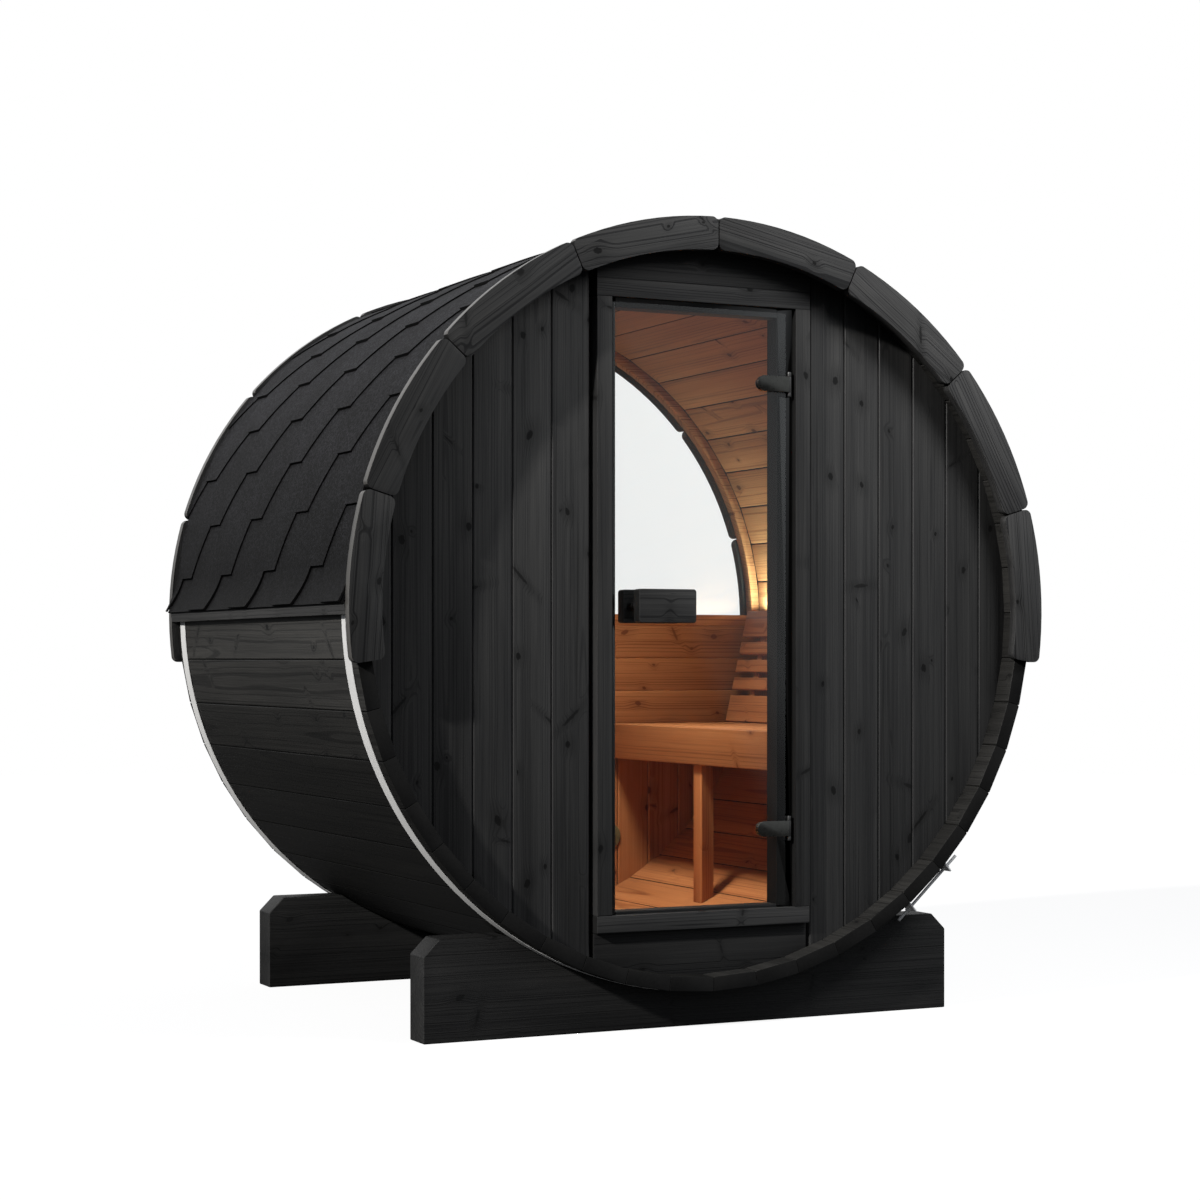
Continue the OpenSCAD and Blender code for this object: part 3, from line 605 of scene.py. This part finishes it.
def grainAxes(run, centre):
    # directions along, across and into a board whose grain runs that way
    x, y, z = Vector((1, 0, 0)), Vector((0, 1, 0)), Vector((0, 0, 1))
    if run in ("stave", "fascia"):
        radial = Vector((centre.x, 0, centre.z - axisZ)).normalized()
        tangent = Vector((radial.z, 0, -radial.x))
        return (y, tangent, radial) if run == "stave" else (tangent, radial, y)
    return {"x": (x, z, y), "flatX": (x, y, z), "y": (y, x, z), "edgeY": (y, z, x), "z": (z, x, y)}[run]


# how strongly the rings show, for each run of the grain
figureSet = {"fascia": 0.85, "stave": 0.6, "z": 0.35, "x": 0.75, "y": 0.7, "edgeY": 0.6, "flatX": 0.6}

# beside the random tone, painted light and shade: fascia boards lighter to the right, the eave strip
# lighter, left staves darker downwards, right recess staves, high boards under the fascia, the right wall
# and low boards under the barrel darker
toneAndLightSet = {
    "plain": (0.40, 0.58),
    "fasciaGain": 0.24,              # painted light: per metre to the right, the fascia boards get lighter
    "eave": 0.90,
    "eaveDepth": 0.02,
    "staveTop": 0.9,                 # painted shade on the left staves: tone at the axis, and the drop over which it loses 1
    "staveDrop": 0.42,
    "rightStave": -0.24,
    "farShare": 0.84,                # of the radius, from which a board counts as high or low
    "high": -0.28,
    "rightFrom": 0.3,
    "rightWall": -0.09,
    "lowFront": -0.20,
    "lowRear": -0.34,
}


def toneOf(run, centre, chance):
    # how light a board is, from 0 to 1: a random tone of its stain, with painted light and shade added by
    # its place; the left staves get painted shade towards the ground
    shade = chance.uniform(*toneAndLightSet["plain"])
    far = bandR * toneAndLightSet["farShare"]
    if run == "fascia":
        return shade + toneAndLightSet["fasciaGain"] * max(0.0, centre.x)
    if run == "y" and abs(centre.x) > bandR - toneAndLightSet["eaveDepth"]:
        return toneAndLightSet["eave"]
    if run == "stave" and centre.z < axisZ:
        fallen = toneAndLightSet["staveTop"] - (axisZ - centre.z) / toneAndLightSet["staveDrop"]
        return max(0.0, fallen) if centre.x < 0 else shade + toneAndLightSet["rightStave"]
    if centre.z > axisZ + far:
        return shade + toneAndLightSet["high"]
    if run == "z" and centre.x > toneAndLightSet["rightFrom"]:
        return shade + toneAndLightSet["rightWall"]
    if centre.z < axisZ - far:
        return shade + toneAndLightSet["lowFront" if centre.y < 0 else "lowRear"]
    return shade


# range of the pith's place along, across and into a board
pithSet = ((3, 40), (-0.05, 0.05), (0.02, 0.10))


def layGrain(piece, run, paintedShade=0.0, acrossShare=0.8):
    # writes each board's own grain and its tone, which holds painted light and shade, and gives back the
    # faces that cut across it
    mesh = piece.data
    kinds = {"grain": "FLOAT_VECTOR", "tone": "FLOAT", "figure": "FLOAT"}
    for name, kind in kinds.items():
        mesh.attributes.new(name, kind, "POINT")
    grain, tone, figure = (mesh.attributes[name].data for name in kinds)
    runOf = {}
    for number, board in enumerate(boardsOf(mesh)):
        chance = random.Random(piece.name + str(number))
        centre = sum((mesh.vertices[index].co for index in board), Vector()) / len(board)
        along, across, depth = grainAxes(run, centre)
        pith = Vector([chance.uniform(*span) for span in pithSet])
        shade = toneOf(run, centre, chance) + paintedShade
        for index in board:
            away = mesh.vertices[index].co - centre
            grain[index].vector = Vector((away.dot(along), away.dot(across), away.dot(depth))) + pith
            tone[index].value = shade
            figure[index].value = figureSet[run]
            runOf[index] = along
    return [face for face in mesh.polygons if abs(face.normal.dot(runOf[face.vertices[0]])) > acrossShare]


def finishPiece(piece, node, slot, *materials):
    for material in materials:
        piece.data.materials.append(material)
    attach(piece, nodes[node]["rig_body"])
    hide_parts(node)


# tests for faces, from a face's middle and its normal

faceSet = {
    "facing": 0.5,                   # part of the normal along Y, for a front or a back
    "inner": 0.7,                    # part of the normal towards the axis, for a stave's inner side
    "joint": (-0.5, 0.8),            # part away from the axis, for a stave's chamfers and sides
    "rimDepth": 0.004,
    "stopDepth": 0.010,              # behind the front of the door frame
    "opening": -0.1,                 # the normal along X times the place, for sides that face the middle
}


def isWarmStave(face, normal):
    inward = Vector((-face.x, 0, axisZ - face.z)).normalized()
    return normal.dot(inward) > faceSet["inner"] and insideFrom < face.y < insideTo


def isStaveJoint(face, normal):
    # the chamfers and sides of a stave, which get a near-black finish as painted shade in the joints,
    # between the lit eased edges
    radial = Vector((face.x, 0, face.z - axisZ)).normalized()
    least, most = faceSet["joint"]
    return least < normal.dot(radial) < most and abs(normal.y) < faceSet["facing"]


def isRim(face, normal):
    reach = math.hypot(face.x, face.z - axisZ)
    return reach > fasciaHigh.x - faceSet["rimDepth"] and abs(normal.y) < faceSet["facing"]


def isBack(face, normal):
    return normal.y > faceSet["facing"]


def isFront(face, normal):
    return normal.y < -faceSet["facing"]


def isStop(face, normal):
    # the stop behind the door's glass, whose front gets a smooth near-black finish as painted shade
    return isFront(face, normal) and face.y > frameLow.y + faceSet["stopDepth"]


def isOpeningSide(face, normal):
    return normal.x * face.x < faceSet["opening"]


boardSet = {
    # node: run of the grain, eased edge, second finish, test for the faces that show it
    "front_cradle": ("x", 0.0030, None, None),
    "rear_cradle": ("x", 0.0030, None, None),
    "front_wall_left": ("z", 0.0008, warmWood, isBack),
    "front_wall_right": ("z", 0.0008, warmWood, isBack),
    "front_wall_over_door": ("x", 0.0008, warmWood, isBack),
    "front_wall_under_door": ("x", 0.0015, warmWood, isBack),
    "door_frame_left": ("z", 0.0022, stopShade, isStop),
    "door_frame_right": ("z", 0.0022, stopShade, isStop),
    "door_frame_head": ("x", 0.0009, stopShade, isStop),
    "door_frame_sill": ("x", 0.0022, None, None),
    "rear_wall": ("z", 0.0008, warmWood, isFront),
    "front_fascia": ("fascia", 0.0034, rimHighlight, isRim),
    "rear_fascia": ("fascia", 0.0034, rimHighlight, isRim),
    "eave_strips": ("y", 0.0015, None, None),
    "door_handle_outside": ("x", 0.0020, None, None),
    "door_handle_inside": ("x", 0.0020, None, None),
}
for side in ("left", "right"):
    for part in ("upper", "crown", "lower", "floor"):
        boardSet["staves_" + part + "_" + side] = ("stave", 0.0013, warmWood, isWarmStave)

warmSet = {
    # node: run of the grain, eased edge, change of tone, a darker tone painted on as shade
    "rear_wall_lining": ("x", 0.0022, -0.8),
    "rear_window_sill": ("x", 0.0020, -0.5),
    "rear_window_trim": ("fascia", 0.0020, 0.0),
    "bench_front_rail": ("edgeY", 0.0030, -0.9),
    "bench_seat": ("y", 0.0030, -0.4),
    "bench_bearers": ("flatX", 0.0020, 0.0),
    "bench_post": ("z", 0.0025, 0.0),
    "backrest_slats": ("edgeY", 0.0030, 0.0),
    "backrest_brackets": ("z", 0.0020, 0.0),
}


def openFrameJoint(piece, side, width=0.010, depth=0.006):
    # draws the front edge of the last wall board back from the door frame
    for vertex in piece.data.vertices:
        if side * vertex.co.x < frameHigh.x + depth and vertex.co.y < wallLow.y + depth:
            vertex.co.x += side * width


def roundCorners(piece, corner=0.0095, growth=2.0, gap=0.0011):
    # makes the round corners of each fascia board larger, from the point where its sides would meet,
    # and draws its ends back a little from the next board
    for board in boardsOf(piece.data):
        spots = [piece.data.vertices[index] for index in board]
        middle = sum((spot.co for spot in spots), Vector()) / len(spots)
        facing = math.atan2(middle.z - axisZ, middle.x)

        def polar(place):
            turn = math.atan2(place.z - axisZ, place.x) - facing
            return math.remainder(turn, 2 * math.pi), math.hypot(place.x, place.z - axisZ)

        places = [polar(spot.co) for spot in spots]
        turns, reaches = [place[0] for place in places], [place[1] for place in places]
        for spot, (turn, reach) in zip(spots, places):
            endTurn = min(turns) if turn < 0 else max(turns)
            rim = min(reaches) if reach < (min(reaches) + max(reaches)) / 2 else max(reaches)
            if abs(turn - endTurn) * reach < corner and abs(reach - rim) < corner:
                tip = Vector((rim * math.cos(facing + endTurn), spot.co.y,
                              axisZ + rim * math.sin(facing + endTurn)))
                spot.co = tip + (spot.co - tip) * growth
            turn, reach = polar(spot.co)
            turn *= 1 - gap / (max(turns) * reach)
            spot.co.x, spot.co.z = reach * math.cos(facing + turn), axisZ + reach * math.sin(facing + turn)


def overDoorBoard(node, segments=160, clear=0.013):
    # one level board, flush with the head of the door frame and cut to the barrel;
    # what stands in front of the wall keeps clear of the staves
    low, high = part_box(node)
    bpy.ops.object.select_all(action="DESELECT")
    bpy.ops.mesh.primitive_cylinder_add(vertices=segments, radius=high.z - axisZ, depth=high.y - frameLow.y,
                                        location=(0, (high.y + frameLow.y) / 2, axisZ),
                                        rotation=(math.pi / 2, 0, 0))
    piece = bpy.context.object
    piece.name = "dressed_" + node
    bpy.ops.object.transform_apply(location=True, rotation=True, scale=True)
    bpy.ops.object.mode_set(mode="EDIT")
    cutAt((0, 0, low.z), (0, 0, -1), clearOuter=True, fill=True)
    cutAt((low.x, 0, 0), (-1, 0, 0), clearOuter=True, fill=True)
    cutAt((high.x, 0, 0), (1, 0, 0), clearOuter=True, fill=True)
    for step in (0.0, hair):
        cutAt((0, wallLow.y - step, 0), (0, 1, 0))
    bpy.ops.object.mode_set(mode="OBJECT")
    for vertex in piece.data.vertices:
        if vertex.co.y < wallLow.y - hair / 2 and vertex.co.z > low.z + hair:
            vertex.co.z -= clear
    return piece


def trimEave(piece):
    # the shingles bend out over the strip, so its upper edge stops under them
    pickOnly(piece)
    bpy.ops.object.mode_set(mode="EDIT")
    cutAt((0, 0, axisZ + eaveRise - hair), (0, 0, 1), clearOuter=True, fill=True)
    bpy.ops.object.mode_set(mode="OBJECT")


endAndShadePlace, finishPlace, jointPlace = 1, 2, 3      # in a board's list of finishes, after its wood

for node, (run, edge, finish, test) in boardSet.items():
    piece = overDoorBoard(node) if node == "front_wall_over_door" else mergedCopy(node)
    if node in ("front_wall_left", "front_wall_right"):
        openFrameJoint(piece, -1 if node.endswith("left") else 1)
    elif node.endswith("fascia"):
        roundCorners(piece)
    elif node == "eave_strips":
        trimEave(piece)
    easeEdges(piece, edge)
    ends = layGrain(piece, run)
    finishes = [sunWarmedWood if run == "stave" else blackWood, endGrainAndShade]
    if finish:
        finishes.append(finish)
    if run == "stave":
        finishes.append(staveJointShade)
    finishPiece(piece, node, "black_wood", *finishes)
    if not node.endswith("cradle"):
        for face in ends:
            face.material_index = endAndShadePlace
    for face in piece.data.polygons if finish else ():
        if test(face.center, face.normal):
            face.material_index = finishPlace
        elif run == "stave" and isStaveJoint(face.center, face.normal):
            face.material_index = jointPlace
        # painted shade: the door frame's sides that face the opening get the dark end-grain finish
        elif node.startswith("door_frame") and isOpeningSide(face.center, face.normal):
            face.material_index = endAndShadePlace
for node, (run, edge, paintedShade) in warmSet.items():
    piece = mergedCopy(node)
    easeEdges(piece, edge)
    layGrain(piece, run, paintedShade)
    finishPiece(piece, node, "warm_wood", warmWood)
print("boards dressed:", len(boardSet) + len(warmSet))


# metal and glass pieces

fittingSet = {
    # node: slot, eased edge, finishes
    "front_band": ("band_steel", 0.0, bandSteelSheen),
    "rear_band": ("band_steel", 0.0, bandSteelSheen),
    "front_band_tensioner": ("band_steel", 0.0006, bandSteelSheen),
    "rear_band_tensioner": ("band_steel", 0.0006, bandSteelSheen),
    "door_handle_standoffs": ("black_metal", 0.0008, blackMetal),
    "hinge_straps": ("black_metal", 0.0012, strapMetal, pinSteel),
    "hinge_leaves": ("black_metal", 0.0008, blackMetal, pinSteel),
    "door_glass": ("clear_glass", 0.0010, clearGlass),
    "rear_window": ("clear_glass", 0.0010, clearGlass),
    "vent_cover": ("vent_plastic", 0.0015, ventPlastic),
}
knuckleR = (strapHigh.x - glassHigh.x) / 3       # the knuckle's middle stands two radii off the glass
knuckleDepth = 0.002                             # of its middle behind the front of the glass
hingeSpot = Vector((strapHigh.x - knuckleR, glassLow.y + knuckleDepth))

for node, (slot, edge, *finishes) in fittingSet.items():
    piece = mergedCopy(node)
    easeEdges(piece, edge)
    finishPiece(piece, node, slot, *finishes)
    if len(finishes) > 1:
        for face in piece.data.polygons:
            face.material_index = int((face.center.xy - hingeSpot).length < knuckleR + hair / 2)
print("fittings dressed:", len(fittingSet))


# shingles: one tooth is modelled flat, repeated along the barrel, then laid course by course

shingleSet = {
    "pitch": 0.366,          # from tooth to tooth along the barrel
    "toothTop": 0.266,
    "toothFoot": 0.098,
    "exposure": 0.1434,      # what shows of each course, up the slope
    "lap": 0.185,            # height of the sheet above its teeth
    "thick": 0.0054,
    "lift": 0.0094,          # a tooth's foot over the bed, where it lies on the course below
    "rowStep": 0.014,        # spacing of the cuts that let a sheet bend
    "firstTooth": -0.487,    # a tooth's middle in even courses
    "flareAngle": 6.0,       # degrees over the axis where the cover leaves the staves
    "overhang": 0.006,
    "flareSteps": 12,
    "courses": 11,
    "endGap": 0.0005,
    "starter": 0.12,         # width of the plain strip under the lowest teeth
    "bedGap": 0.0004,
    "teeth": 6,              # in one sheet, before it is cut to the barrel
    "mergeGap": 0.0005,
    "near": 0.0001,
    "slopeStep": 0.004,      # reach over which the slope of the bed is taken
    "smooth": 25,            # degrees
}

flare = math.radians(shingleSet["flareAngle"])
roofFrom = fasciaHigh.y + shingleSet["endGap"]     # the cover lies between the two fascias
roofTo = -roofFrom


def flarePoint(share):
    # the curve by which the cover leaves the staves, from the eave at 0 to the staves at 1
    height = eaveRise + (bandR * math.sin(flare) - eaveRise) * share
    return Vector((math.sqrt(bandR ** 2 - height ** 2) + (eaveHigh.x - bandR) * (1 - share) ** 2, height))


flareLine = [flarePoint(step / shingleSet["flareSteps"]) for step in range(shingleSet["flareSteps"] + 1)]
flareLine.insert(0, flareLine[0] + (flareLine[0] - flareLine[1]).normalized() * shingleSet["overhang"])
flareRuns = [0.0]
for first, second in zip(flareLine, flareLine[1:]):
    flareRuns.append(flareRuns[-1] + (second - first).length)
flareLength = flareRuns[-1]
ridgeRun = flareLength + (math.pi / 2 - flare) * bandR     # from the eave to the ridge


def bedAt(run):
    # the bed under the shingles, in the barrel's section
    if run >= flareLength:
        turn = flare + (run - flareLength) / bandR
        return Vector((math.cos(turn), math.sin(turn))) * bandR
    part = max(index for index in range(len(flareRuns) - 1) if flareRuns[index] <= max(run, 0.0))
    share = (run - flareRuns[part]) / (flareRuns[part + 1] - flareRuns[part])
    return flareLine[part].lerp(flareLine[part + 1], share)


def onRoof(run, lift, y, side):
    # a point at that run up from the eave, raised by lift off the bed
    step = shingleSet["slopeStep"]
    rise = (bedAt(run + step) - bedAt(run - step)).normalized()
    spot = bedAt(run) + Vector((rise.y, -rise.x)) * lift
    return Vector((side * spot.x, y, axisZ + spot.y))


def toothSheet():
    # flat: X runs along the barrel, Y up the slope, with the teeth's feet at Y = 0
    pitch, exposure, lap = shingleSet["pitch"], shingleSet["exposure"], shingleSet["lap"]
    top, foot, near = shingleSet["toothTop"], shingleSet["toothFoot"], shingleSet["near"]
    bpy.ops.object.select_all(action="DESELECT")
    bpy.ops.mesh.primitive_plane_add(size=1, location=(0, exposure + lap / 2, 0))
    sheet = bpy.context.object
    sheet.scale = (pitch, lap, 1)
    bpy.ops.object.transform_apply(location=True, rotation=False, scale=True)
    bpy.ops.object.mode_set(mode="EDIT")
    for edge in (-top / 2, top / 2):
        cutAt((edge, 0, 0), (1, 0, 0))
    bpy.ops.mesh.select_all(action="DESELECT")
    bpy.ops.object.mode_set(mode="OBJECT")
    for edge in sheet.data.edges:
        ends = [sheet.data.vertices[index].co for index in edge.vertices]
        edge.select = all(abs(end.y - exposure) < near and abs(end.x) < top / 2 + near for end in ends)
    bpy.ops.object.mode_set(mode="EDIT")
    bpy.ops.mesh.select_mode(type="EDGE")
    bpy.ops.mesh.extrude_region_move(TRANSFORM_OT_translate={"value": (0, -exposure, 0)})
    bpy.ops.transform.resize(value=(foot / top, 1, 1), center_override=(0, 0, 0))
    for row in range(1, int((exposure + lap) / shingleSet["rowStep"]) + 1):
        cutAt((0, row * shingleSet["rowStep"], 0), (0, 1, 0))
    bpy.ops.object.mode_set(mode="OBJECT")
    array = sheet.modifiers.new("row", "ARRAY")
    array.count = shingleSet["teeth"]
    array.relative_offset_displace = (1, 0, 0)
    array.use_merge_vertices = True
    array.merge_threshold = shingleSet["mergeGap"]
    bpy.ops.object.modifier_apply(modifier="row")
    return sheet


def layCourse(sheet, course, side):
    # one row of teeth, cut to the barrel and bent onto the roof; every other row is shifted by half a tooth
    even = course % 2 == 0
    shift = shingleSet["firstTooth"] - shingleSet["pitch"] * (1 if even else 1.5)
    startRun = flareLength + course * shingleSet["exposure"]
    piece = bpy.data.objects.new("course", sheet.data.copy())
    scene.collection.objects.link(piece)
    pickOnly(piece)
    bpy.ops.object.mode_set(mode="EDIT")
    bpy.ops.mesh.select_all(action="SELECT")
    bpy.ops.transform.translate(value=(shift, 0, 0))
    cutAt((roofFrom, 0, 0), (1, 0, 0), clearInner=True)
    cutAt((roofTo, 0, 0), (1, 0, 0), clearOuter=True)
    cutAt((0, -startRun, 0), (0, 1, 0), clearInner=True)
    cutAt((0, ridgeRun - startRun, 0), (0, 1, 0), clearOuter=True)
    bpy.ops.mesh.select_all(action="SELECT")
    bpy.ops.mesh.normals_make_consistent(inside=False)
    bpy.ops.object.mode_set(mode="OBJECT")
    length = shingleSet["exposure"] + shingleSet["lap"]
    for vertex in piece.data.vertices:
        along, up = vertex.co.x, vertex.co.y
        lift = shingleSet["lift"] * (1 - up / length) + shingleSet["bedGap"]
        vertex.co = onRoof(startRun + up, lift, along, side)
    return piece


def thicken(piece):
    # faces look out of the barrel before the sheet gets its thickness
    pickOnly(piece)
    face = piece.data.polygons[0]
    if face.normal.dot(Vector((face.center.x, 0, face.center.z - axisZ))) < 0:
        bpy.ops.object.mode_set(mode="EDIT")
        bpy.ops.mesh.select_all(action="SELECT")
        bpy.ops.mesh.flip_normals()
        bpy.ops.object.mode_set(mode="OBJECT")
    piece.data.materials.append(shingleGrit)
    piece.data.materials.append(shingleEdge)
    wall = piece.modifiers.new("thick", "SOLIDIFY")
    wall.thickness = shingleSet["thick"]
    wall.offset = 1
    wall.material_offset_rim = 1
    bpy.ops.object.modifier_apply(modifier="thick")
    bpy.ops.object.shade_smooth_by_angle(angle=math.radians(shingleSet["smooth"]))


def plainSheet(length, width):
    # flat: X along the barrel from 0, Y up the slope from 0, with cuts that let it bend
    bpy.ops.object.select_all(action="DESELECT")
    bpy.ops.mesh.primitive_plane_add(size=1, location=(length / 2, width / 2, 0))
    sheet = bpy.context.object
    sheet.scale = (length, width, 1)
    bpy.ops.object.transform_apply(location=True, rotation=False, scale=True)
    bpy.ops.object.mode_set(mode="EDIT")
    for row in range(1, math.ceil(width / shingleSet["rowStep"])):
        cutAt((0, row * shingleSet["rowStep"], 0), (0, 1, 0))
    bpy.ops.object.mode_set(mode="OBJECT")
    return sheet


def layStarter(side):
    # the plain strip that shows between the lowest teeth
    piece = plainSheet(roofTo - roofFrom, shingleSet["starter"])
    for vertex in piece.data.vertices:
        vertex.co = onRoof(vertex.co.y, shingleSet["bedGap"], vertex.co.x + roofFrom, side)
    return piece


ridgeSet = {
    "across": 0.24,
    "length": 0.29,
    "exposure": 0.145,
    "rise": 0.0110,         # over the bed at the covered end
    "lift": 0.0030,         # more at the end that shows
}


def layRidge(number):
    # one cap bent over the ridge; its showing end lies on the cap in front
    start = roofFrom + number * ridgeSet["exposure"]
    length = min(ridgeSet["length"], roofTo - start)
    piece = plainSheet(length, ridgeSet["across"])
    for vertex in piece.data.vertices:
        lift = ridgeSet["rise"] + ridgeSet["lift"] * (1 - vertex.co.x / ridgeSet["length"])
        vertex.co = onRoof(ridgeRun + vertex.co.y - ridgeSet["across"] / 2, lift, start + vertex.co.x, -1)
    return piece


def joinCover(pieces, name, *covered):
    for piece in pieces:
        thicken(piece)
    pickOnly(pieces[0])
    for piece in pieces[1:]:
        piece.select_set(True)
    bpy.ops.object.join()
    cover = bpy.context.object
    cover.name = name
    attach(cover, "cabin")
    if covered:
        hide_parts(*covered)


flatSheet = toothSheet()
for side, label in ((-1, "left"), (1, "right")):
    courses = [layCourse(flatSheet, course, side) for course in range(-1, shingleSet["courses"] - 1)]
    joinCover([layStarter(side)] + courses, "shingles_" + label, "roof_" + label)
bpy.data.objects.remove(flatSheet)
capCount = int(-2 * fasciaHigh.y / ridgeSet["exposure"])
joinCover([layRidge(number) for number in range(capCount)], "ridge_caps")
print("shingles laid")
